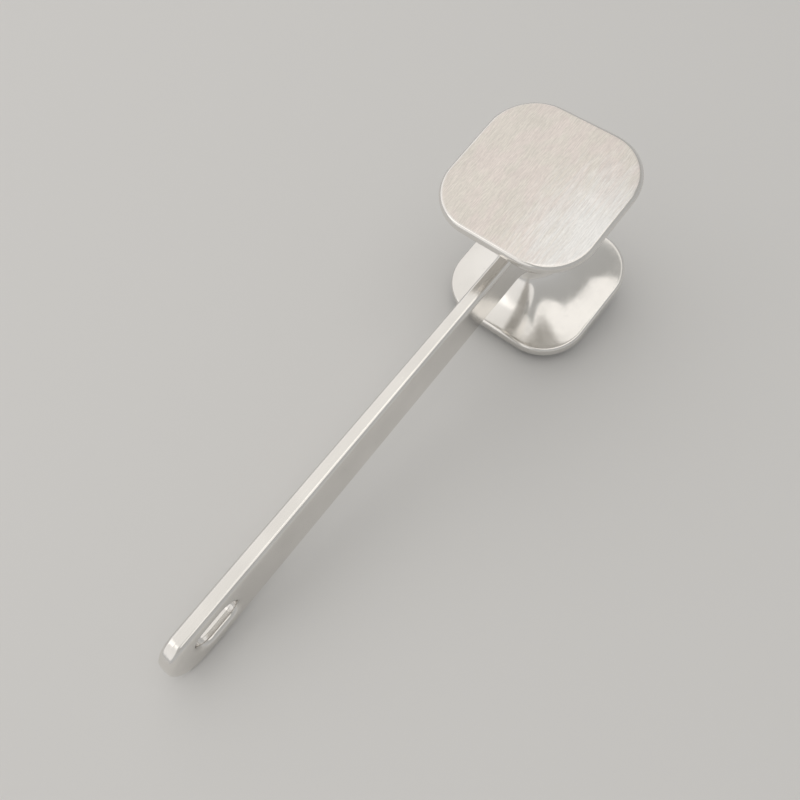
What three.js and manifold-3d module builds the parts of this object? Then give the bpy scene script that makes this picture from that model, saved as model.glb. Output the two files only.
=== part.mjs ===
// Meat tenderizer of cast, tumbled and polished aluminium.
//
// Two square striking halves stand back to back on the hub of a long flat handle: one has a plain
// ground face, the other a grid of pointed teeth. A socket screw goes up through the toothed half
// and the hub into the flat half, and pairs of dowel pins keep the square halves from turning.
//
// Millimetres, +Z up. The tool lies as it is laid down on a table: on the row of teeth nearest the
// handle and on the handle's rounded tip. The origin is on the table under the middle of the tool,
// and the handle points along +X.

import * as THREE from 'three';
import { mergeVertices } from 'three/addons/utils/BufferGeometryUtils.js';
import Module from 'manifold-3d';

const wasm = await Module();
wasm.setup();

// Head
const flatPlateSide = 60.6;
const toothedPlateSide = 62;
const plateCornerRadius = 18.8;
const flatRimThickness = 4.2;
const toothedRimThickness = 5;
const strikingEdgeRounding = 0.9;
const rimRounding = 1.3;
const rimLand = 0.2;
const neckRadius = 8;
const flareHeight = 15;
const flareConeShare = 0.28;
const hubHeight = 27.8;

// Teeth
const teethPerSide = 10;
const toothHeight = 4;
const toothTipWidth = 0.8;
const grooveRootWidth = 0.4;
const clearedTeethPerSide = 2;
const toothFootOverhang = 0.05;
const toothFaceHollow = 0.2;

// Handle
const handleLength = 203.5;
const handleRise = THREE.MathUtils.degToRad(1.45);
const handleAboveHubMiddle = 1.3;
const handleDepthAtHub = 19.2;
const handleDepthAtTip = 21.6;
const handleThicknessAtHub = 5.6;
const handleThicknessAtTip = 7;
const handleEdgeRounding = 2.4;
const handleRootFillet = 6;

// Hanging slot
const slotLength = 18.6;
const slotHeight = 10.6;
const slotFromTip = 12;

// Socket screw, its split washer and the dowel pins
const screwRadius = 3;
const screwEngagement = 8.8;
const screwHeadRadius = 5;
const screwHeadHeight = 6;
const screwSocketAcrossFlats = 5;
const screwSocketDepth = 3;
const screwChamfer = 0.6;
const screwEndSpace = 1.4;
const screwHeadRecess = 0.6;
const washerThickness = 1.3;
const washerOuterRadius = 5.1;
const washerSplit = 0.9;
const dowelRadius = 1;
const dowelLength = 8;
const dowelChamfer = 0.25;
const dowelFromAxis = 5.6;

// Clearance between pieces that touch, and how far a cutter runs past the face it starts from
const seatGap = 0.3;
const cutterOverrun = 1;

// Facets
const headSegments = 56;
const roundSegments = 48;
const smallRoundSegments = 24;
const flareSteps = 9;
const cornerSteps = 8;
const roundingSteps = 3;
const hollowSteps = 6;

// Levels in the head, counted from the tooth tips
const toothRootLevel = toothHeight;
const lowerJointLevel = toothRootLevel + toothedRimThickness + flareHeight;
const upperJointLevel = lowerJointLevel + hubHeight;
const headHeight = upperJointLevel + flareHeight + flatRimThickness;
const handleHeightAtHub = (lowerJointLevel + upperJointLevel) / 2 + handleAboveHubMiddle;

const aluminium = new THREE.MeshStandardMaterial({ color: 0xcfcdc8, roughness: 0.22, metalness: 1 });
const groundAluminium = new THREE.MeshStandardMaterial({ color: 0xdad8d3, roughness: 0.38, metalness: 1 });
const steel = new THREE.MeshStandardMaterial({ color: 0x9b9c9e, roughness: 0.3, metalness: 1 });

function solidOf(geometry) {
  const bare = geometry.clone();
  bare.deleteAttribute('normal');
  bare.deleteAttribute('uv');
  const merged = mergeVertices(bare, 1e-4);
  return new wasm.Manifold(new wasm.Mesh({
    numProp: 3,
    vertProperties: new Float32Array(merged.attributes.position.array),
    triVerts: new Uint32Array(merged.index.array),
  }));
}

function geometryOf(solid) {
  const mesh = solid.getMesh();
  const geometry = new THREE.BufferGeometry();
  geometry.setAttribute('position', new THREE.BufferAttribute(new Float32Array(mesh.vertProperties), 3));
  geometry.setIndex(new THREE.BufferAttribute(new Uint32Array(mesh.triVerts), 1));
  geometry.computeVertexNormals();
  return geometry;
}

// An upright cylinder between two levels, at a place in plan
function post(radius, low, high, x = 0, y = 0, segments = smallRoundSegments) {
  const geometry = new THREE.CylinderGeometry(radius, radius, high - low, segments);
  geometry.rotateX(Math.PI / 2);
  geometry.translate(x, y, (low + high) / 2);
  return geometry;
}

// A body turned about the upright axis, from a profile of [radius, level] points
function turned(profile, segments) {
  const points = profile.map(([radius, level]) => new THREE.Vector2(radius, level));
  const geometry = new THREE.LatheGeometry(points, segments);
  geometry.rotateX(Math.PI / 2);
  return geometry;
}

// How far a square with round corners reaches from its middle in the direction of an angle
function squareReach(angle, half, cornerRadius) {
  const across = Math.abs(Math.cos(angle));
  const along = Math.abs(Math.sin(angle));
  const cornerCentre = half - cornerRadius;
  const sideReach = half / Math.max(across, along);
  if (sideReach * Math.min(across, along) <= cornerCentre) {
    return sideReach;
  }
  const middle = cornerCentre * (across + along);
  return middle + Math.sqrt(middle ** 2 - 2 * cornerCentre ** 2 + cornerRadius ** 2);
}

// A closed body through rings that lie one above the other, each with a level and a reach for any angle
function loft(rings, segments) {
  const positions = [0, 0, rings[0].level];
  for (const { level, reach } of rings) {
    for (let step = 0; step < segments; step += 1) {
      const angle = (2 * Math.PI * step) / segments;
      positions.push(reach(angle) * Math.cos(angle), reach(angle) * Math.sin(angle), level);
    }
  }
  positions.push(0, 0, rings[rings.length - 1].level);
  const lastPoint = positions.length / 3 - 1;
  const indices = [];
  for (let step = 0; step < segments; step += 1) {
    const next = (step + 1) % segments;
    indices.push(0, 1 + next, 1 + step);
    for (let ring = 0; ring < rings.length - 1; ring += 1) {
      const low = 1 + ring * segments;
      const high = low + segments;
      indices.push(low + step, low + next, high + next);
      indices.push(low + step, high + next, high + step);
    }
    indices.push(lastPoint, lastPoint - segments + step, lastPoint - segments + next);
  }
  const geometry = new THREE.BufferGeometry();
  geometry.setAttribute('position', new THREE.Float32BufferAttribute(positions, 3));
  geometry.setIndex(indices);
  return geometry;
}

// One half of the head, standing on its face: a square plate whose back sweeps up into the round neck.
// The sweep is mostly an ellipse, with a share of a plain cone that makes it rise from the rim on.
function headBody(plateSide, rimThickness, faceRounding) {
  const rings = [];
  const plateReach = (angle, inset) => squareReach(angle, plateSide / 2 - inset, plateCornerRadius - inset);
  const addPlateRing = (inset, level) => {
    rings.push({ level, reach: (angle) => plateReach(angle, inset) });
  };
  for (let step = 0; step <= roundingSteps; step += 1) {
    const angle = (Math.PI / 2) * (step / roundingSteps);
    addPlateRing(faceRounding * (1 - Math.sin(angle)), faceRounding * (1 - Math.cos(angle)));
  }
  for (let step = 0; step <= roundingSteps; step += 1) {
    const angle = (Math.PI / 2) * (step / roundingSteps);
    addPlateRing(rimRounding * (1 - Math.cos(angle)), rimThickness - rimRounding * (1 - Math.sin(angle)));
  }
  const flareInset = rimRounding + rimLand;
  for (let step = 0; step <= flareSteps; step += 1) {
    const angle = (Math.PI / 2) * (step / flareSteps);
    const rise = THREE.MathUtils.lerp(1 - Math.cos(angle), Math.sin(angle), flareConeShare);
    rings.push({
      level: rimThickness + flareHeight * rise,
      reach: (direction) => {
        const rim = plateReach(direction, flareInset);
        return THREE.MathUtils.lerp(rim, neckRadius, Math.sin(angle));
      },
    });
  }
  return loft(rings, headSegments);
}

// The two dowels of a joint stand in line with the handle, before and behind the screw
const dowelPlaces = { front: dowelFromAxis, rear: -dowelFromAxis };

function cutDowelHoles(solid, jointLevel) {
  const reach = dowelLength / 2 + seatGap;
  let cut = solid;
  for (const x of Object.values(dowelPlaces)) {
    cut = cut.subtract(solidOf(post(dowelRadius + seatGap, jointLevel - reach, jointLevel + reach, x)));
  }
  return cut;
}

// Levels along the screw: the head is sunk above the tooth roots, with the washer between it and its seat
const screwHeadLow = toothRootLevel + screwHeadRecess;
const screwHeadHigh = screwHeadLow + screwHeadHeight;
const washerLow = screwHeadHigh + seatGap;
const washerSeatLevel = washerLow + washerThickness + seatGap;
const screwTipLevel = upperJointLevel + screwEngagement;

// The teeth fill the flat of the toothed plate, inside its rounded edge
const toothFieldSide = toothedPlateSide - 2 * rimRounding;
const toothPitch = toothFieldSide / teethPerSide;

// V grooves both ways leave a grid of pyramids with small flat tips
function groove() {
  const halfWidthAtTips = (toothPitch - toothTipWidth) / 2;
  const slope = (halfWidthAtTips - grooveRootWidth / 2) / toothHeight;
  const length = toothFieldSide + 2 * cutterOverrun;
  const section = new THREE.Shape();
  section.moveTo(0, halfWidthAtTips / slope);
  section.lineTo(-halfWidthAtTips - slope * cutterOverrun, -cutterOverrun);
  section.lineTo(halfWidthAtTips + slope * cutterOverrun, -cutterOverrun);
  section.closePath();
  const geometry = new THREE.ExtrudeGeometry(section, { depth: length, bevelEnabled: false });
  geometry.rotateX(Math.PI / 2);
  geometry.translate(0, length / 2, 0);
  return geometry;
}

// A tooth is left out where its foot would pass the plate's round corners, and around the screw's head
function toothStands(row, column) {
  const farX = (Math.abs(row) + 0.5) * toothPitch;
  const farY = (Math.abs(column) + 0.5) * toothPitch;
  const cornerRadius = plateCornerRadius - rimRounding;
  const reach = squareReach(Math.atan2(farY, farX), toothFieldSide / 2, cornerRadius);
  const onPlate = Math.hypot(farX, farY) <= reach + toothFootOverhang;
  const clearOfScrew = Math.max(Math.abs(row), Math.abs(column)) > clearedTeethPerSide / 2;
  return onPlate && clearOfScrew;
}

// The tips lie on a very shallow bowl, as a cast plate draws in towards its middle when it cools
function tipHollow() {
  const rim = toothFieldSide / 2;
  const profile = [[0, -cutterOverrun], [rim, -cutterOverrun]];
  for (let step = hollowSteps; step >= 0; step -= 1) {
    const share = step / hollowSteps;
    profile.push([rim * share, toothFaceHollow * (1 - share ** 2)]);
  }
  return turned(profile, roundSegments);
}

function teeth() {
  const blockHeight = toothHeight + rimRounding;
  const block = new THREE.BoxGeometry(toothFieldSide, toothFieldSide, blockHeight);
  block.translate(0, 0, blockHeight / 2);
  let solid = solidOf(block).subtract(solidOf(tipHollow()));
  const lengthwise = solidOf(groove());
  const crosswise = solidOf(groove().rotateZ(Math.PI / 2));
  for (let line = -teethPerSide / 2; line <= teethPerSide / 2; line += 1) {
    solid = solid.subtract(lengthwise.translate([line * toothPitch, 0, 0]));
    solid = solid.subtract(crosswise.translate([0, line * toothPitch, 0]));
  }
  const cellSide = toothPitch + grooveRootWidth / 2;
  const cell = solidOf(new THREE.BoxGeometry(cellSide, cellSide, blockHeight + 2 * cutterOverrun));
  const middle = (teethPerSide - 1) / 2;
  for (let row = -middle; row <= middle; row += 1) {
    for (let column = -middle; column <= middle; column += 1) {
      if (!toothStands(row, column)) {
        solid = solid.subtract(cell.translate([row * toothPitch, column * toothPitch, blockHeight / 2]));
      }
    }
  }
  return solid;
}

function toothedHalf() {
  const body = headBody(toothedPlateSide, toothedRimThickness, rimRounding);
  body.translate(0, 0, toothRootLevel);
  let solid = solidOf(body).add(teeth());
  solid = solid.subtract(solidOf(post(screwHeadRadius + seatGap, -cutterOverrun, washerSeatLevel)));
  solid = solid.subtract(solidOf(post(screwRadius + seatGap, 0, lowerJointLevel + cutterOverrun)));
  return cutDowelHoles(solid, lowerJointLevel);
}

function flatHalf() {
  const body = headBody(flatPlateSide, flatRimThickness, strikingEdgeRounding);
  body.rotateX(Math.PI);
  body.translate(0, 0, headHeight);
  const screwHoleEnd = screwTipLevel + screwEndSpace;
  const screwHole = post(screwRadius + seatGap, upperJointLevel - cutterOverrun, screwHoleEnd);
  return cutDowelHoles(solidOf(body).subtract(solidOf(screwHole)), upperJointLevel);
}

// The handle's tip is a full round: its radius, and its centre's distance from the hub's axis
const tipRadius = handleDepthAtTip / 2;
const tipArcCentre = handleLength - tipRadius;

// The bar on edge: straight sides that widen to the round tip, with the hanging slot
function handleBar() {
  const outline = new THREE.Shape();
  outline.moveTo(0, -handleDepthAtHub / 2);
  outline.lineTo(tipArcCentre, -tipRadius);
  outline.absarc(tipArcCentre, 0, tipRadius, -Math.PI / 2, Math.PI / 2);
  outline.lineTo(0, handleDepthAtHub / 2);
  outline.closePath();

  const slotEndRadius = slotHeight / 2;
  const slotOuterCentre = handleLength - slotFromTip - slotEndRadius;
  const slotInnerCentre = handleLength - slotFromTip - slotLength + slotEndRadius;
  const slot = new THREE.Path();
  slot.absarc(slotOuterCentre, 0, slotEndRadius, -Math.PI / 2, Math.PI / 2);
  slot.absarc(slotInnerCentre, 0, slotEndRadius, Math.PI / 2, 1.5 * Math.PI);
  slot.closePath();
  outline.holes.push(slot);

  const geometry = new THREE.ExtrudeGeometry(outline, {
    depth: handleThicknessAtTip - 2 * handleEdgeRounding,
    bevelThickness: handleEdgeRounding,
    bevelSize: handleEdgeRounding,
    bevelOffset: -handleEdgeRounding,
    bevelSegments: roundingSteps,
    curveSegments: 2 * cornerSteps,
  });
  geometry.translate(0, 0, handleEdgeRounding - handleThicknessAtTip / 2);
  geometry.rotateX(Math.PI / 2);

  // The bar is thinner at the hub than at the tip
  const position = geometry.attributes.position;
  for (let index = 0; index < position.count; index += 1) {
    const along = THREE.MathUtils.clamp(position.getX(index) / tipArcCentre, 0, 1);
    const thickness = THREE.MathUtils.lerp(handleThicknessAtHub, handleThicknessAtTip, along);
    position.setY(index, position.getY(index) * thickness / handleThicknessAtTip);
  }
  return geometry;
}

// Fillets in plan where the hub runs out into the bar's two sides
function rootFillets() {
  const halfThickness = handleThicknessAtHub / 2;
  const filletY = halfThickness + handleRootFillet;
  const filletX = Math.sqrt((neckRadius + handleRootFillet) ** 2 - filletY ** 2);
  const touchAngle = Math.atan2(filletY, filletX);
  const outline = new THREE.Shape();
  outline.moveTo(0, 0);
  outline.lineTo(neckRadius * Math.cos(touchAngle), -neckRadius * Math.sin(touchAngle));
  outline.absarc(filletX, -filletY, handleRootFillet, Math.PI - touchAngle, Math.PI / 2, true);
  outline.absarc(filletX, filletY, handleRootFillet, 1.5 * Math.PI, Math.PI + touchAngle, true);
  outline.closePath();
  const height = handleDepthAtHub - 2 * handleEdgeRounding;
  const geometry = new THREE.ExtrudeGeometry(outline, {
    depth: height,
    bevelEnabled: false,
    curveSegments: cornerSteps,
  });
  geometry.translate(0, 0, -height / 2);
  return geometry;
}

function handle() {
  const bar = solidOf(handleBar()).add(solidOf(rootFillets()));
  const riseDegrees = THREE.MathUtils.radToDeg(handleRise);
  const risen = bar.rotate([0, -riseDegrees, 0]).translate([0, 0, handleHeightAtHub]);
  const hubLow = lowerJointLevel + seatGap;
  const hubHigh = upperJointLevel - seatGap;
  let solid = risen.add(solidOf(post(neckRadius, hubLow, hubHigh, 0, 0, roundSegments)));
  const bore = post(screwRadius + seatGap, hubLow - cutterOverrun, hubHigh + cutterOverrun);
  solid = solid.subtract(solidOf(bore));
  solid = cutDowelHoles(solid, lowerJointLevel);
  return cutDowelHoles(solid, upperJointLevel);
}

function socketScrew() {
  const body = turned([
    [0, screwHeadLow],
    [screwHeadRadius - screwChamfer, screwHeadLow],
    [screwHeadRadius, screwHeadLow + screwChamfer],
    [screwHeadRadius, screwHeadHigh],
    [screwRadius, screwHeadHigh],
    [screwRadius, screwTipLevel - screwChamfer],
    [screwRadius - screwChamfer, screwTipLevel],
    [0, screwTipLevel],
  ], smallRoundSegments);
  const socketRadius = screwSocketAcrossFlats / Math.sqrt(3);
  const socket = post(socketRadius, screwHeadLow - cutterOverrun, screwHeadLow + screwSocketDepth, 0, 0, 6);
  return solidOf(body).subtract(solidOf(socket));
}

function splitWasher() {
  const washerHigh = washerLow + washerThickness;
  const ring = solidOf(post(washerOuterRadius, washerLow, washerHigh));
  const hole = post(screwRadius + seatGap, washerLow - cutterOverrun, washerHigh + cutterOverrun);
  const splitLength = washerOuterRadius + cutterOverrun;
  const split = new THREE.BoxGeometry(splitLength, washerSplit, washerThickness + 2 * cutterOverrun);
  split.translate(-splitLength / 2, 0, (washerLow + washerHigh) / 2);
  return ring.subtract(solidOf(hole)).subtract(solidOf(split));
}

function dowelPin() {
  const end = dowelLength / 2;
  return turned([
    [0, -end],
    [dowelRadius - dowelChamfer, -end],
    [dowelRadius, -end + dowelChamfer],
    [dowelRadius, end - dowelChamfer],
    [dowelRadius - dowelChamfer, end],
    [0, end],
  ], smallRoundSegments / 2);
}

function named(name, geometry, material) {
  const mesh = new THREE.Mesh(geometry, material);
  mesh.name = name;
  return mesh;
}

// The whole tool, upright on its teeth with the screw's axis on the Z axis
const tool = new THREE.Group();
tool.add(named('handle', geometryOf(handle()), aluminium));
tool.add(named('flat_head_half', geometryOf(flatHalf()), groundAluminium));
tool.add(named('toothed_head_half', geometryOf(toothedHalf()), aluminium));
tool.add(named('tie_screw', geometryOf(socketScrew()), steel));
tool.add(named('split_washer', geometryOf(splitWasher()), steel));
for (const [jointName, jointLevel] of Object.entries({ lower: lowerJointLevel, upper: upperJointLevel })) {
  for (const [placeName, x] of Object.entries(dowelPlaces)) {
    const pin = named(`${jointName}_dowel_${placeName}`, dowelPin(), steel);
    pin.position.set(x, 0, jointLevel);
    tool.add(pin);
  }
}

// Laid down, it leans until the handle's tip meets the table: the angle of the line that leaves the
// outer row of tooth tips and touches the round end of the handle from below
const footX = toothFieldSide / 2 - toothPitch / 2 + toothTipWidth / 2;
const tipX = tipArcCentre * Math.cos(handleRise);
const tipZ = handleHeightAtHub + tipArcCentre * Math.sin(handleRise);
const footToTip = Math.hypot(tipX - footX, tipZ);
const lean = Math.atan2(tipZ, tipX - footX) - Math.asin(tipRadius / footToTip);
tool.rotation.y = lean;
tool.position.z = footX * Math.sin(lean);
tool.updateMatrixWorld(true);
const extent = new THREE.Box3().setFromObject(tool, true);
tool.position.x = -(extent.min.x + extent.max.x) / 2;

const meatTenderizer = new THREE.Group();
meatTenderizer.add(tool);

export default meatTenderizer;
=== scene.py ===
import math
import random

import bmesh
import bpy
import numpy as np
from mathutils import Matrix, Vector


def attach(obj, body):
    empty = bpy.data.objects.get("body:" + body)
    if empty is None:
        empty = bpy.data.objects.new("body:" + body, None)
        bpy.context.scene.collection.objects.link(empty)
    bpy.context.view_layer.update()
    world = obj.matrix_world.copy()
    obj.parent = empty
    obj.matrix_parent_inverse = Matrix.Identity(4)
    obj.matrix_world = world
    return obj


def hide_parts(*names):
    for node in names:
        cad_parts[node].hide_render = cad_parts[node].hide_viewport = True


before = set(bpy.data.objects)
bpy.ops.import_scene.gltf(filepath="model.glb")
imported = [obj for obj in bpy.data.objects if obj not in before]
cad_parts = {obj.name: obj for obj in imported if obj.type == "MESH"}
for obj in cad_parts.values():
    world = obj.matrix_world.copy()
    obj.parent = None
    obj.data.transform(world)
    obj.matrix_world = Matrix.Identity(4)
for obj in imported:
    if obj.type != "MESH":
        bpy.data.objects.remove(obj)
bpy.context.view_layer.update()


# Upper half of the head
# One aluminium casting: a square plate whose back sweeps down in one broad curve into the round neck.
# It is tumbled and polished all over. Then its striking face is ground, with the grain along the handle.

# Sizes are in millimetres in the upright tool, its tooth tips at level 0 and its screw on the Z axis
mm = 0.001
head_height = 71
upper_joint = 51.8
flat_plate_side = 60.6
flat_rim_thickness = 4.2
striking_edge_rounding = 1.8
plate_corner_radius = 18.8
rim_rounding = 1.3
rim_land = 0.2
flare_height = 15
flare_cone_share = 0.28
neck_radius = 8
screw_hole_radius = 3.3
upper_screw_hole_end = 62
dowel_hole_radius = 1.3
dowel_hole_depth = 4.3
dowel_from_axis = 5.6

# Laid down, the tool leans over on one row of its teeth and on the tip of its handle
lean = math.radians(11.297)
laid_place = Vector((-89.488, 0, 5.315)) * mm
laid_down = Matrix.Translation(laid_place) @ Matrix.Rotation(lean, 4, "Y")

# The angles at which round shapes are drawn
around = np.linspace(0, 2 * math.pi, 192, endpoint=False)
around_hole = np.linspace(0, 2 * math.pi, 48, endpoint=False)
rounding_turn = np.linspace(0, math.pi / 2, 9)
flare_turn = np.linspace(0, math.pi / 2, 56)
sharp_angle = math.radians(35)

polished_colour = (0.84, 0.82, 0.79, 1)
polished_roughness = 0.14
rosy_ground_colour = (0.876, 0.807, 0.764, 1)
straw_ground_colour = (0.858, 0.815, 0.755, 1)
# Colour of the painted highlight on the ground face
painted_highlight_colour = (0.97, 0.965, 0.95, 1)
ground_roughness_span = (0.30, 0.42)

# Most values of a noise lie within this span
noise_span = (0.3, 0.7)


def add_node(tree, kind, sockets=(), **settings):
    """A shader node with its settings, its constants and the links that come into it."""
    made = tree.nodes.new(kind)
    for name, value in settings.items():
        setattr(made, name, value)
    for socket, value in dict(sockets).items():
        if isinstance(value, bpy.types.NodeSocket):
            tree.links.new(value, made.inputs[socket])
        else:
            made.inputs[socket].default_value = value
    return made


def calculate(tree, operation, first, second=0.0, third=0.0):
    numbers = {0: first, 1: second, 2: third}
    return add_node(tree, "ShaderNodeMath", numbers, operation=operation).outputs["Value"]


def calculate_vector(tree, operation, first, second=(0, 0, 0)):
    made = add_node(tree, "ShaderNodeVectorMath", {0: first, 1: second}, operation=operation)
    return made.outputs["Value" if operation in ("LENGTH", "DOT_PRODUCT") else "Vector"]


def remap(tree, value, span, result):
    """A value taken smoothly from one span of numbers to another."""
    spans = {"From Min": span[0], "From Max": span[1], "To Min": result[0], "To Max": result[1]}
    made = add_node(tree, "ShaderNodeMapRange", {"Value": value, **spans}, interpolation_type="SMOOTHSTEP")
    return made.outputs["Result"]


def upright_place(tree):
    """Where a point lies in the upright tool, in metres."""
    here = add_node(tree, "ShaderNodeTexCoord").outputs["Object"]
    laid = {"Vector": here, "Location": laid_place, "Rotation": (0, lean, 0)}
    return add_node(tree, "ShaderNodeMapping", laid, vector_type="TEXTURE").outputs["Vector"]


def stretched_noise(tree, lengths, turn=(0, 0, 0), detail=2.0, place=None):
    """Noise whose features have the given lengths in millimetres along three turned directions."""
    start = upright_place(tree) if place is None else place
    scales = [1 / (length * mm) for length in lengths]
    stretched = {"Vector": start, "Rotation": turn, "Scale": scales}
    turned = add_node(tree, "ShaderNodeMapping", stretched).outputs["Vector"]
    noise = {"Vector": turned, "Scale": 1.0, "Detail": detail}
    return add_node(tree, "ShaderNodeTexNoise", noise).outputs["Fac"]


def relief(tree, marks):
    """The summed height in metres of marks that are given with their heights in millimetres."""
    height = 0.0
    for mark, rise in marks:
        height = calculate(tree, "MULTIPLY_ADD", mark, rise * mm, height)
    return height


# Tumbling leaves a soft unevenness, fine scratches every way and a few open pores. The group adds these
# to the roughness and the shade that a metal has of its own, and puts out their height.
tumbled = bpy.data.node_groups.new("tumbled_metal", "ShaderNodeTree")
for socket in ("Roughness", "Shade"):
    tumbled.interface.new_socket(socket, in_out="INPUT", socket_type="NodeSocketFloat")
for socket in ("Height", "Roughness", "Shade"):
    tumbled.interface.new_socket(socket, in_out="OUTPUT", socket_type="NodeSocketFloat")
own = add_node(tumbled, "NodeGroupInput").outputs
swell = stretched_noise(tumbled, (16, 16, 16), turn=(0.3, 0.2, 0.5), detail=1.0)
ripple = stretched_noise(tumbled, (3.6, 3.6, 3.6), turn=(0.9, 0.4, 0.1))
long_scratches = stretched_noise(tumbled, (7, 0.16, 0.16), turn=(0.2, 0.5, 0.7), detail=3.0)
cross_scratches = stretched_noise(tumbled, (0.18, 6, 0.18), turn=(1.1, 0.3, -0.9), detail=3.0)
scratches = calculate(tumbled, "ADD", long_scratches, cross_scratches)
pores = remap(tumbled, stretched_noise(tumbled, (0.9, 0.9, 0.9), detail=1.0), (0.24, 0.16), (0, 1))

tumbled_height = relief(tumbled, ((swell, 0.060), (ripple, 0.007), (scratches, 0.0011), (pores, -0.03)))
scratch_roughness = remap(tumbled, scratches, (0.7, 1.3), (-0.03, 0.05))
ripple_roughness = remap(tumbled, ripple, (0.35, 0.65), (-0.02, 0.03))
tumbled_roughness = calculate(tumbled, "ADD", scratch_roughness, ripple_roughness)
tumbled_roughness = calculate(tumbled, "ADD", tumbled_roughness, own["Roughness"])
swell_shade = remap(tumbled, swell, noise_span, (0.95, 1.0))
pore_shade = remap(tumbled, pores, (0, 1), (1, 0.6))
tumbled_shade = calculate(tumbled, "MULTIPLY", swell_shade, pore_shade)
tumbled_shade = calculate(tumbled, "MULTIPLY", tumbled_shade, own["Shade"])
finish = {"Height": tumbled_height, "Roughness": tumbled_roughness, "Shade": tumbled_shade}
add_node(tumbled, "NodeGroupOutput", finish)


def tumbled_finish(tree, roughness, shade=1.0):
    """Height, roughness and shade of a tumbled metal that has this roughness and shade of its own."""
    sockets = {"Roughness": roughness, "Shade": shade}
    return add_node(tree, "ShaderNodeGroup", sockets, node_tree=tumbled).outputs


def mix_colours(tree, share, first, second, blend_type="MIX"):
    sockets = {0: share, 6: first, 7: second}
    return add_node(tree, "ShaderNodeMix", sockets, data_type="RGBA", blend_type=blend_type).outputs[2]


def darkened(tree, colour, shade):
    return mix_colours(tree, 1.0, colour, shade, "MULTIPLY")


def new_material(name, settings):
    made = bpy.data.materials.new(name)
    made.use_nodes = True
    tree = made.node_tree
    tree.nodes.clear()
    shader = add_node(tree, "ShaderNodeBsdfPrincipled", settings)
    add_node(tree, "ShaderNodeOutputMaterial", {"Surface": shader.outputs["BSDF"]})
    return made, tree, shader


def finish_metal(tree, shader, colour, roughness, height):
    """Links a metal's colour, roughness and height to its shader."""
    bump = add_node(tree, "ShaderNodeBump", {"Strength": 1.0, "Distance": 1.0, "Height": height})
    tree.links.new(colour, shader.inputs["Base Color"])
    tree.links.new(roughness, shader.inputs["Roughness"])
    tree.links.new(bump.outputs["Normal"], shader.inputs["Normal"])


upper_metal, tree, shader = new_material("ground_and_polished_aluminium", {"Metallic": 1.0})
polished = tumbled_finish(tree, polished_roughness)

# The grinding marks run along the handle and wander a little from side to side
wander = stretched_noise(tree, (9, 5, 9), detail=1.0)
sideways = add_node(tree, "ShaderNodeCombineXYZ", {"Y": calculate(tree, "MULTIPLY", wander, 1.6 * mm)})
wandering_place = calculate_vector(tree, "ADD", upright_place(tree), sideways.outputs["Vector"])
long_marks = stretched_noise(tree, (5, 0.30, 5), place=wandering_place)
short_marks = stretched_noise(tree, (1.1, 0.42, 1.1), place=wandering_place)
patches = stretched_noise(tree, (22, 14, 22), turn=(0, 0, 0.2))
ground_height = relief(tree, ((long_marks, 0.010), (short_marks, 0.016), (patches, 0.07)))
ground_roughness = remap(tree, patches, noise_span, ground_roughness_span)
ground_shade = 1.0
for mark, darkest in ((long_marks, 0.86), (short_marks, 0.92), (patches, 0.94)):
    mark_shade = remap(tree, mark, noise_span, (darkest, 1.0))
    ground_shade = calculate(tree, "MULTIPLY", ground_shade, mark_shade)

# The ground face has a warm, faintly mottled cast, and a painted highlight makes it whiter around one place
# near its edge, on the handle's right
highlight_centre = Vector((10, 29, head_height)) * mm
highlight_stretch = (0.75, 1, 1)
highlight_span = (3 * mm, 32 * mm)
from_highlight = calculate_vector(tree, "SUBTRACT", upright_place(tree), highlight_centre)
from_highlight = calculate_vector(tree, "MULTIPLY", from_highlight, highlight_stretch)
highlight_streaks = remap(tree, stretched_noise(tree, (9, 1.0, 9)), noise_span, (-5 * mm, 5 * mm))
highlight_reach = calculate(tree, "ADD", calculate_vector(tree, "LENGTH", from_highlight), highlight_streaks)
painted_highlight = remap(tree, highlight_reach, highlight_span, (1, 0))
mottling = remap(tree, stretched_noise(tree, (9, 6, 9), turn=(0.3, 0.1, 0.2)), (0.38, 0.62), (0, 1))
ground_colour = mix_colours(tree, mottling, rosy_ground_colour, straw_ground_colour)
# The painted highlight is mixed into the ground face's colour
ground_colour = mix_colours(tree, painted_highlight, ground_colour, painted_highlight_colour)

# Only what faces the same way as the striking face is ground
up = (math.sin(lean), 0, math.cos(lean))
normal = add_node(tree, "ShaderNodeTexCoord").outputs["Normal"]
on_face = remap(tree, calculate_vector(tree, "DOT_PRODUCT", normal, up), (0.955, 0.99), (0, 1))


def face_or_back(back_value, face_value):
    sockets = {0: on_face, 2: back_value, 3: face_value}
    return add_node(tree, "ShaderNodeMix", sockets, data_type="FLOAT").outputs[0]


upper_colour = mix_colours(tree, on_face, polished_colour, ground_colour)
upper_colour = darkened(tree, upper_colour, face_or_back(polished["Shade"], ground_shade))
upper_roughness = face_or_back(polished["Roughness"], ground_roughness)
upper_height = face_or_back(polished["Height"], ground_height)
finish_metal(tree, shader, upper_colour, upper_roughness, upper_height)


def square_reach(half, corner_radius):
    """How far a square with round corners reaches from its middle, for every angle around."""
    across, along = np.abs(np.cos(around)), np.abs(np.sin(around))
    corner_centre = half - corner_radius
    side = half / np.maximum(across, along)
    middle = corner_centre * (across + along)
    corner = middle + np.sqrt(np.maximum(middle ** 2 - 2 * corner_centre ** 2 + corner_radius ** 2, 0))
    return np.where(side * np.minimum(across, along) <= corner_centre, side, corner)


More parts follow.
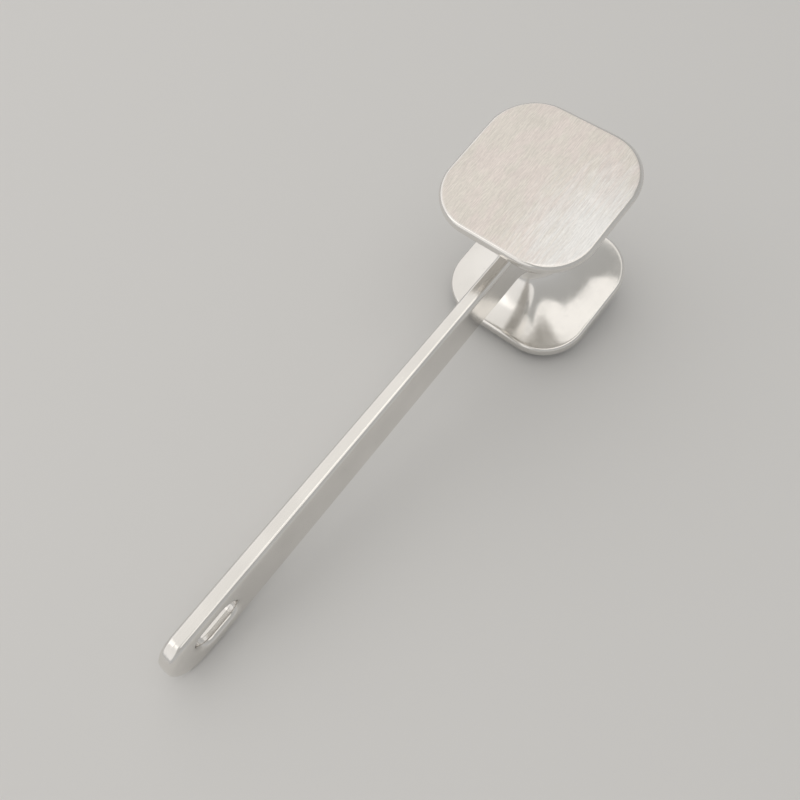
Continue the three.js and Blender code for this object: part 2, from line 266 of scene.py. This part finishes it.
def plate_profile(side, rim_thickness, face_rounding):
    """Rings of a head half from its face to its neck, as reaches and heights above the face."""
    def plate(inset):
        return square_reach(side / 2 - inset, plate_corner_radius - inset)

    rings = []
    for angle in rounding_turn:
        inset = face_rounding * (1 - math.sin(angle))
        rings.append((plate(inset), face_rounding * (1 - math.cos(angle))))
    for angle in rounding_turn:
        inset = rim_rounding * (1 - math.cos(angle))
        rings.append((plate(inset), rim_thickness - rim_rounding * (1 - math.sin(angle))))
    rim = plate(rim_rounding + rim_land)
    for angle in flare_turn:
        reach = rim + (neck_radius - rim) * math.sin(angle)
        rise = (1 - flare_cone_share) * (1 - math.cos(angle)) + flare_cone_share * math.sin(angle)
        rings.append((reach, rim_thickness + flare_height * rise))
    return rings


def add_ring(mesh, reach, level, angles=around, x=0.0):
    reaches = np.broadcast_to(reach, angles.shape)
    return [mesh.verts.new((x + r * math.cos(a), r * math.sin(a), level)) for r, a in zip(reaches, angles)]


def add_band(mesh, first, second):
    for step in range(len(first)):
        mesh.faces.new((first[step - 1], first[step], second[step], second[step - 1]))


def join_rings(mesh, rings):
    for first, second in zip(rings, rings[1:]):
        add_band(mesh, first, second)


def loop_edges(mesh, loop):
    ends = [(loop[step - 1], loop[step]) for step in range(len(loop))]
    return [mesh.edges.get(pair) or mesh.edges.new(pair) for pair in ends]


def fill_between(mesh, edges):
    bmesh.ops.triangle_fill(mesh, use_beauty=True, edges=edges)


def add_joint_face(mesh, neck_ring, level, dowel_hole_end):
    """The flat where two castings meet, with two blind dowel holes; returns the rim of the screw's hole."""
    screw_rim = add_ring(mesh, screw_hole_radius, level, around_hole)
    edges = loop_edges(mesh, neck_ring) + loop_edges(mesh, screw_rim)
    for x in (-dowel_from_axis, dowel_from_axis):
        rim = add_ring(mesh, dowel_hole_radius, level, around_hole, x)
        end = add_ring(mesh, dowel_hole_radius, dowel_hole_end, around_hole, x)
        add_band(mesh, rim, end)
        mesh.faces.new(end)
        edges += loop_edges(mesh, rim)
    fill_between(mesh, edges)
    return screw_rim


def new_piece(name, mesh, material):
    """The finished mesh as a piece of the laid-down tool."""
    bmesh.ops.recalc_face_normals(mesh, faces=mesh.faces)
    mesh.transform(laid_down @ Matrix.Scale(mm, 4))
    data = bpy.data.meshes.new(name)
    mesh.to_mesh(data)
    mesh.free()
    piece = bpy.data.objects.new(name, data)
    bpy.context.scene.collection.objects.link(piece)
    data.materials.append(material)
    data.shade_smooth()
    data.set_sharp_from_angle(angle=sharp_angle)
    piece.modifiers.new("weighted_normals", "WEIGHTED_NORMAL").keep_sharp = True
    return piece


upper_mesh = bmesh.new()
upper_profile = plate_profile(flat_plate_side, flat_rim_thickness, striking_edge_rounding)
upper_rings = [add_ring(upper_mesh, reach, head_height - level) for reach, level in upper_profile]
join_rings(upper_mesh, upper_rings)

# The striking face is drawn in rings, ever smaller towards its middle, so that wear can bend it
face_reach = upper_profile[0][0]
outer_ring = upper_rings[0]
for share in np.linspace(0.97, 0.04, 26):
    inner_ring = add_ring(upper_mesh, face_reach * share, head_height)
    add_band(upper_mesh, outer_ring, inner_ring)
    outer_ring = inner_ring
upper_mesh.faces.new(outer_ring)
screw_rim = add_joint_face(upper_mesh, upper_rings[-1], upper_joint, upper_joint + dowel_hole_depth)
screw_end = add_ring(upper_mesh, screw_hole_radius, upper_screw_hole_end, around_hole)
add_band(upper_mesh, screw_rim, screw_end)
upper_mesh.faces.new(screw_end)

# Use has rounded the striking face off a little towards its edges, most along one side
face_crown = 0.15
crown_reach = 32
face_fall = 0.8
face_fall_start = 2
for vertex in upper_mesh.verts:
    x, y, z = vertex.co
    height_share = max(0.0, (z - head_height) / flat_rim_thickness + 1)
    crown = (math.hypot(x, y) / crown_reach) ** 2
    fall = max(0.0, (y - face_fall_start) / (flat_plate_side / 2 - face_fall_start)) ** 2
    vertex.co.z -= height_share * (face_crown * crown + face_fall * fall)

upper_half = new_piece("flat_head_half_casting", upper_mesh, upper_metal)
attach(upper_half, "root")
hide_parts("flat_head_half")


# Lower half of the head
# The second aluminium casting, with the same broad sweep down from the neck. Its face is a field of small
# pyramids with blunt tips, cast in one with the plate. Grease and oxide stay in the grooves between them.
lower_joint = 24
toothed_plate_side = 62
toothed_rim_thickness = 5
toothed_edge_rounding = 1.2
tooth_height = 4
teeth_per_side = 10
tooth_pitch = 5.94
tooth_tip_half = 0.4
tooth_squareness = 8
groove_half = 2.77
groove_bend = 0.05
tip_bend = 0.06
tooth_field_half = tooth_pitch * teeth_per_side / 2
corner_slack = 0.1
cleared_half = tooth_pitch
border_slack = 0.01
tip_hollow = 0.2
tip_wear = 0.10
counterbore_radius = 5.3
washer_seat = 12.5
grime_roughness = 0.45
grime_shade = 0.45

# Grid lines over one tooth, close together where it bends at its tip and at its foot
half_cell_lines = (0, 0.25, 0.36, 0.44, 0.6, 1.0, 1.5, 2.05, 2.5, 2.68, 2.78, 2.86, tooth_pitch / 2)
cell_lines = [-line for line in half_cell_lines[:0:-1]] + list(half_cell_lines)
cell_steps = len(cell_lines) - 1

# The grime starts a little above the tooth tips and ends just past the foot of the teeth
lower_metal, tree, shader = new_material("cast_and_polished_aluminium", {"Metallic": 1.0})
upright_level = add_node(tree, "ShaderNodeSeparateXYZ", {0: upright_place(tree)}).outputs["Z"]
above_tips = remap(tree, upright_level, (0.8 * mm, 4.1 * mm), (0, 1))
below_foot = remap(tree, upright_level, (4.0 * mm, 5.4 * mm), (1, 0))
blotches = remap(tree, stretched_noise(tree, (2.5, 2.5, 2.5)), noise_span, (0.55, 1))
grime = calculate(tree, "MULTIPLY", calculate(tree, "MULTIPLY", above_tips, below_foot), blotches)
grimy_roughness = remap(tree, grime, (0, 1), (polished_roughness, grime_roughness))
polished = tumbled_finish(tree, grimy_roughness, remap(tree, grime, (0, 1), (1, grime_shade)))
lower_colour = darkened(tree, polished_colour, polished["Shade"])
finish_metal(tree, shader, lower_colour, polished["Roughness"], polished["Height"])


def tooth_stands(row, column):
    """Teeth are left out where their foot would pass a round corner of the plate, and around the screw."""
    corner_radius = plate_corner_radius - rim_rounding
    corner_centre = tooth_field_half - corner_radius
    past_x = (abs(row) + 0.5) * tooth_pitch - corner_centre
    past_y = (abs(column) + 0.5) * tooth_pitch - corner_centre
    on_plate = min(past_x, past_y) <= 0 or math.hypot(past_x, past_y) <= corner_radius + corner_slack
    clear_of_screw = max(abs(row), abs(column)) * tooth_pitch > cleared_half
    return on_plate and clear_of_screw


def soft_ramp(share):
    """0 below 0 and 1 above 1, with both bends rounded."""
    low_bend = max(tip_bend - abs(share), 0) ** 2 / (4 * tip_bend)
    high_bend = max(groove_bend - abs(share - 1), 0) ** 2 / (4 * groove_bend)
    return min(max(share, 0) + low_bend, 1) if share < 0.5 else min(share, 1) - high_bend


def tooth_point(row, column, u, v, worn):
    """A point of the tooth in this row and column, u and v away from its middle."""
    x, y = row * tooth_pitch + u, column * tooth_pitch + v
    hollow = tip_hollow * max(0, 1 - (math.hypot(x, y) / tooth_field_half) ** 2)
    tip = hollow + worn
    out = (abs(u) ** tooth_squareness + abs(v) ** tooth_squareness) ** (1 / tooth_squareness)
    share = soft_ramp((out - tooth_tip_half) / (groove_half - tooth_tip_half))
    return x, y, tip + (tooth_height - tip) * share


# The row nearest the handle, on which the tool lies, keeps its full height, and the others are worn
lower_mesh = bmesh.new()
grid = {}
wear = random.Random(7)
for row_index in range(teeth_per_side):
    for column_index in range(teeth_per_side):
        row, column = row_index - (teeth_per_side - 1) / 2, column_index - (teeth_per_side - 1) / 2
        if not tooth_stands(row, column):
            continue
        worn = 0 if row_index == teeth_per_side - 1 else wear.uniform(0, tip_wear)
        for line_x, u in enumerate(cell_lines):
            for line_y, v in enumerate(cell_lines):
                key = (row_index * cell_steps + line_x, column_index * cell_steps + line_y)
                if key not in grid:
                    grid[key] = lower_mesh.verts.new(tooth_point(row, column, u, v, worn))
        for line_x in range(cell_steps):
            for line_y in range(cell_steps):
                low_x, low_y = row_index * cell_steps + line_x, column_index * cell_steps + line_y
                corners = ((low_x, low_y), (low_x + 1, low_y), (low_x + 1, low_y + 1), (low_x, low_y + 1))
                lower_mesh.faces.new([grid[corner] for corner in corners])


def near_screw(edge):
    """Whether an edge of the tooth field lies on its inner border, around the screw's head."""
    return max(abs(c) for vertex in edge.verts for c in vertex.co[:2]) < cleared_half + border_slack


border = [edge for edge in lower_mesh.edges if edge.is_boundary]
inner_edges = [edge for edge in border if near_screw(edge)]
outer_edges = [edge for edge in border if not near_screw(edge)]

lower_profile = plate_profile(toothed_plate_side, toothed_rim_thickness, toothed_edge_rounding)
lower_rings = [add_ring(lower_mesh, reach, tooth_height + level) for reach, level in lower_profile]
join_rings(lower_mesh, lower_rings)
fill_between(lower_mesh, outer_edges + loop_edges(lower_mesh, lower_rings[0]))
counterbore_rim = add_ring(lower_mesh, counterbore_radius, tooth_height)
fill_between(lower_mesh, inner_edges + loop_edges(lower_mesh, counterbore_rim))
counterbore_end = add_ring(lower_mesh, counterbore_radius, washer_seat)
add_band(lower_mesh, counterbore_rim, counterbore_end)
screw_rim = add_joint_face(lower_mesh, lower_rings[-1], lower_joint, lower_joint - dowel_hole_depth)
screw_end = add_ring(lower_mesh, screw_hole_radius, washer_seat, around_hole)
add_band(lower_mesh, screw_rim, screw_end)
fill_between(lower_mesh, loop_edges(lower_mesh, counterbore_end) + loop_edges(lower_mesh, screw_end))

lower_half = new_piece("toothed_head_half_casting", lower_mesh, lower_metal)
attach(lower_half, "root")
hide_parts("toothed_head_half")


# Handle
# A third casting: a flat bar on edge that grows out of the hub in one smooth root and widens towards the
# round tip with its hanging slot. The mould's parting line is still faintly there along both narrow edges.
handle_length = 203.5
handle_rise = math.radians(1.45)
handle_height = 39.2
depth_at_hub = 19.2
depth_at_tip = 21.6
thickness_at_hub = 5.6
thickness_at_tip = 7
edge_rounding = 2.0
seam_height = 0.05
seam_half_width = 0.35
seam_crest_half_width = seam_half_width / 3
bar_start = 7.2
slot_radius = 5.3
slot_outer_centre = 186.2
slot_inner_centre = 178.2
joint_line_half = 0.03
hub_low = lower_joint + joint_line_half
hub_high = upper_joint - joint_line_half
tip_radius = depth_at_tip / 2
tip_centre = handle_length - tip_radius

handle_metal, tree, shader = new_material("tumbled_cast_aluminium", {"Metallic": 1.0})
polished = tumbled_finish(tree, polished_roughness)
handle_colour = darkened(tree, polished_colour, polished["Shade"])
finish_metal(tree, shader, handle_colour, polished["Roughness"], polished["Height"])

# Across its thickness the bar's edge is round, flat and round again, with the seam in its middle. Each
# line is given by how far it lies inside the bar's outline and, at the tip, from the bar's middle plane.
half_thickness = thickness_at_tip / 2
flat_half = half_thickness - edge_rounding
edge_profile = []
for angle in np.linspace(0, math.pi / 2, 10):
    inset = edge_rounding * (1 - math.sin(angle))
    edge_profile.append((inset, -flat_half - edge_rounding * math.cos(angle)))
edge_profile += [(0, -seam_half_width), (-seam_height, -seam_crest_half_width)]
edge_profile += [(inset, -y) for inset, y in reversed(edge_profile)]


def depth_half(along):
    return (depth_at_hub + (depth_at_tip - depth_at_hub) * along / tip_centre) / 2


def thickness_share(along):
    """The bar's thickness, as a share of its thickness at the tip."""
    thickness = thickness_at_hub + (thickness_at_tip - thickness_at_hub) * along / handle_length
    return thickness / thickness_at_tip


def bar_point(along, across, y):
    """From the bar's own length, depth and thickness to the upright tool."""
    x = along * math.cos(handle_rise) - across * math.sin(handle_rise)
    z = handle_height + along * math.sin(handle_rise) + across * math.cos(handle_rise)
    return x, y * thickness_share(along), z


def add_edge_lines(mesh, outline, outward):
    """One line of vertices along an outline for each step of the edge profile."""
    lines = []
    for inset, y in edge_profile:
        points = [bar_point(p[0] - inset * n[0], p[1] - inset * n[1], y) for p, n in zip(outline, outward)]
        lines.append([mesh.verts.new(point) for point in points])
    return lines


bar_mesh = bmesh.new()
straight = np.linspace(bar_start, tip_centre, 64)
tip_turn = np.linspace(-math.pi / 2, math.pi / 2, 49)[1:-1]
bar_outline = [(a, -depth_half(a)) for a in straight]
bar_outline += [(tip_centre + tip_radius * math.cos(t), tip_radius * math.sin(t)) for t in tip_turn]
bar_outline += [(a, depth_half(a)) for a in straight[::-1]]
bar_outward = [(0, -1)] * len(straight) + [(math.cos(t), math.sin(t)) for t in tip_turn]
bar_outward += [(0, 1)] * len(straight)
bar_lines = add_edge_lines(bar_mesh, bar_outline, bar_outward)
for first, second in zip(bar_lines, bar_lines[1:]):
    for step in range(len(first) - 1):
        bar_mesh.faces.new((first[step], first[step + 1], second[step + 1], second[step]))
bar_mesh.faces.new([line[0] for line in bar_lines] + [line[-1] for line in reversed(bar_lines)])

slot_outline, slot_outward = [], []
for centre, way in ((slot_outer_centre, 1), (slot_inner_centre, -1)):
    for turn in np.linspace(-math.pi / 2, math.pi / 2, 33):
        out_along, out_across = way * math.cos(turn), way * math.sin(turn)
        slot_outline.append((centre + slot_radius * out_along, slot_radius * out_across))
        slot_outward.append((-out_along, -out_across))
slot_lines = add_edge_lines(bar_mesh, slot_outline, slot_outward)
join_rings(bar_mesh, slot_lines)
for side in (0, -1):
    fill_between(bar_mesh, loop_edges(bar_mesh, bar_lines[side]) + loop_edges(bar_mesh, slot_lines[side]))

# The root is the bar and the hub's cylinder run together softly. The bar lies a hair deeper in it than
# in its own mesh, so that the two surfaces never share a place.
root_blend = 11
root_reach = 28.0
root_sink = 0.03
root_bar_start = 2
blend_fade = 3.0
least_blend = 1e-6


def distance_to_hub_and_bar(x, y, z):
    """A smooth joint of the hub's cylinder and the bar, negative inside."""
    along = x * math.cos(handle_rise) + (z - handle_height) * math.sin(handle_rise)
    across = (z - handle_height) * math.cos(handle_rise) - x * math.sin(handle_rise)
    past_depth = np.abs(across) - depth_half(along) + edge_rounding
    past_side = np.abs(y) - half_thickness * thickness_share(along) + edge_rounding
    outside_bar = np.hypot(np.maximum(past_depth, 0), np.maximum(past_side, 0))
    inside_bar = np.minimum(np.maximum(past_depth, past_side), 0)
    to_bar = outside_bar + inside_bar - edge_rounding + root_sink
    to_bar = np.maximum(to_bar, root_bar_start - along)
    to_hub = np.hypot(x, y) - neck_radius
    from_end = np.clip(np.minimum(z - hub_low, hub_high - z) / blend_fade, 0, 1)
    blend = root_blend * from_end * from_end * (3 - 2 * from_end) + least_blend
    overlap = np.maximum(blend - np.abs(to_bar - to_hub), 0) / blend
    return np.minimum(to_bar, to_hub) - overlap ** 2 * blend / 4


# Each ring reaches out from the axis to where the distance passes zero, in finer steps around the handle
hub_mesh = bmesh.new()
fine_half_sector = 48
fine_angles = np.radians(np.arange(-fine_half_sector, fine_half_sector, 0.75))
coarse_angles = np.radians(np.arange(fine_half_sector, 360 - fine_half_sector, 3.0))
hub_angles = np.concatenate((fine_angles, coarse_angles))
just_inside_neck = neck_radius - 0.2
steps_out = np.linspace(just_inside_neck, root_reach, 400)
rays = np.arange(len(hub_angles))
x_out = steps_out[None, :] * np.cos(hub_angles)[:, None]
y_out = steps_out[None, :] * np.sin(hub_angles)[:, None]
hub_rings = []
for level in np.linspace(hub_low, hub_high, 130):
    distance = distance_to_hub_and_bar(x_out, y_out, level)
    outside = distance > 0
    first_out = np.where(outside.any(axis=1), outside.argmax(axis=1), len(steps_out) - 1)
    before, after = distance[rays, first_out - 1], distance[rays, first_out]
    share = np.where(after > 0, before / (before - after), 1)
    reach = steps_out[first_out - 1] + share * (steps_out[first_out] - steps_out[first_out - 1])
    hub_rings.append(add_ring(hub_mesh, reach, level, hub_angles))
join_rings(hub_mesh, hub_rings)
low_rim = add_joint_face(hub_mesh, hub_rings[0], hub_low, lower_joint + dowel_hole_depth)
high_rim = add_joint_face(hub_mesh, hub_rings[-1], hub_high, upper_joint - dowel_hole_depth)
add_band(hub_mesh, low_rim, high_rim)

handle = new_piece("handle_casting", bar_mesh, handle_metal)
hub = new_piece("hub", hub_mesh, handle_metal)
handle.modifiers.clear()
union = handle.modifiers.new("hub", "BOOLEAN")
union.operation = "UNION"
union.solver = "EXACT"
union.object = hub
evaluated_handle = handle.evaluated_get(bpy.context.evaluated_depsgraph_get())
handle.data = bpy.data.meshes.new_from_object(evaluated_handle)
handle.modifiers.clear()
bpy.data.objects.remove(hub)
handle.data.shade_smooth()
handle.data.set_sharp_from_angle(angle=sharp_angle)
handle.modifiers.new("weighted_normals", "WEIGHTED_NORMAL").keep_sharp = True
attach(handle, "root")
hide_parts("handle")


# Tie screw, split washer and dowel pins
# Plain bright steel. The screw pulls the two halves of the head against the hub from below, the split
# washer locks it, and two dowels in each joint keep the castings in line.
steel_colour = (0.56, 0.56, 0.57, 1)
steel_sharp_angle = math.radians(30)
dowel_names = ("lower_dowel_front", "lower_dowel_rear", "upper_dowel_front", "upper_dowel_rear")

steel, tree, shader = new_material("bright_steel", {"Metallic": 1.0})
turning_marks = stretched_noise(tree, (4, 4, 0.25))
tarnish_noise = stretched_noise(tree, (3, 3, 3), turn=(0.4, 0.2, 0), detail=3.0)
tarnish = remap(tree, tarnish_noise, (0.35, 0.65), (0.75, 1.0))
steel_roughness = remap(tree, turning_marks, noise_span, (0.22, 0.42))
steel_height = relief(tree, [(turning_marks, 0.004)])
finish_metal(tree, shader, darkened(tree, steel_colour, tarnish), steel_roughness, steel_height)
for name in ("tie_screw", "split_washer", *dowel_names):
    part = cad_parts[name]
    part.data.materials.clear()
    part.data.materials.append(steel)
    part.data.shade_smooth()
    part.data.set_sharp_from_angle(angle=steel_sharp_angle)


# The table and the light
# The tool lies on a plain pale table. One broad soft lamp hangs over its far side, a smaller one over its
# near side and one beyond the handle's tip. The room is pale near the horizon and a little darker above.
table_reach = 4.0
table_colour = (0.70, 0.695, 0.685, 1)
table_roughness = 0.75
room_horizon = (0.72, 0.72, 0.72, 1)
room_above = (0.58, 0.575, 0.555, 1)
room_strength = 0.75
lamp_colour = (1.0, 0.965, 0.93)
lamp_aim = Vector((0, 0, 0.03))

table_mesh = bmesh.new()
table_corners = [(-1, -1), (1, -1), (1, 1), (-1, 1)]
table_mesh.faces.new([table_mesh.verts.new((x * table_reach, y * table_reach, 0)) for x, y in table_corners])
table_data = bpy.data.meshes.new("table_top")
table_mesh.to_mesh(table_data)
table_mesh.free()
table = bpy.data.objects.new("table_top", table_data)
bpy.context.scene.collection.objects.link(table)
table_finish = {"Base Color": table_colour, "Roughness": table_roughness}
table_data.materials.append(new_material("pale_table", table_finish)[0])

world = bpy.data.worlds.new("room")
bpy.context.scene.world = world
world.use_nodes = True
room = world.node_tree
direction = add_node(room, "ShaderNodeTexCoord").outputs["Generated"]
room_height = add_node(room, "ShaderNodeSeparateXYZ", {0: direction}).outputs["Z"]
room_ramp = add_node(room, "ShaderNodeValToRGB", {"Fac": room_height})
horizon_end, above_start = room_ramp.color_ramp.elements
horizon_end.position, horizon_end.color = 0.12, room_horizon
above_start.position, above_start.color = 0.95, room_above
room.links.new(room_ramp.outputs["Color"], room.nodes["Background"].inputs["Color"])
room.nodes["Background"].inputs["Strength"].default_value = room_strength


def soft_lamp(name, place, size, power):
    light = bpy.data.lights.new(name, "AREA")
    light.shape = "ELLIPSE"
    light.size, light.size_y = size
    light.energy = power
    light.color = lamp_colour
    lamp = bpy.data.objects.new(name, light)
    lamp.location = place
    lamp.rotation_mode = "QUATERNION"
    lamp.rotation_quaternion = (lamp_aim - Vector(place)).to_track_quat("-Z", "Y")
    bpy.context.scene.collection.objects.link(lamp)


soft_lamp("lamp_overhead", (-0.10, -0.85, 1.15), (2.80, 2.40), 8.1)
soft_lamp("lamp_front", (0.02, 0.32, 1.25), (1.40, 0.94), 2.1)
soft_lamp("lamp_end", (1.05, -0.44, 0.70), (1.60, 1.20), 2.1)


# The camera
# It looks down on the tool from above and beside the handle, as the reference picture does, so that the
# handle runs from low on the left up to the head on the right.
camera_place = Vector((0.10241, 0.09268, 0.26265))
camera_aim = Vector((-0.01069, -0.01052, 0))
camera_roll = math.radians(-2.79)
camera_data = bpy.data.cameras.new("camera")
camera_data.lens = 34.1
camera_data.sensor_width = 36
camera_data.clip_start = 0.01
camera_data.clip_end = 20
camera = bpy.data.objects.new("camera", camera_data)
bpy.context.scene.collection.objects.link(camera)
camera.location = camera_place
looking = (camera_aim - camera_place).to_track_quat("-Z", "Y").to_matrix()
camera.rotation_mode = "QUATERNION"
camera.rotation_quaternion = (looking @ Matrix.Rotation(camera_roll, 3, "Z")).to_quaternion()
bpy.context.scene.camera = camera
bpy.context.scene.view_settings.view_transform = "Standard"
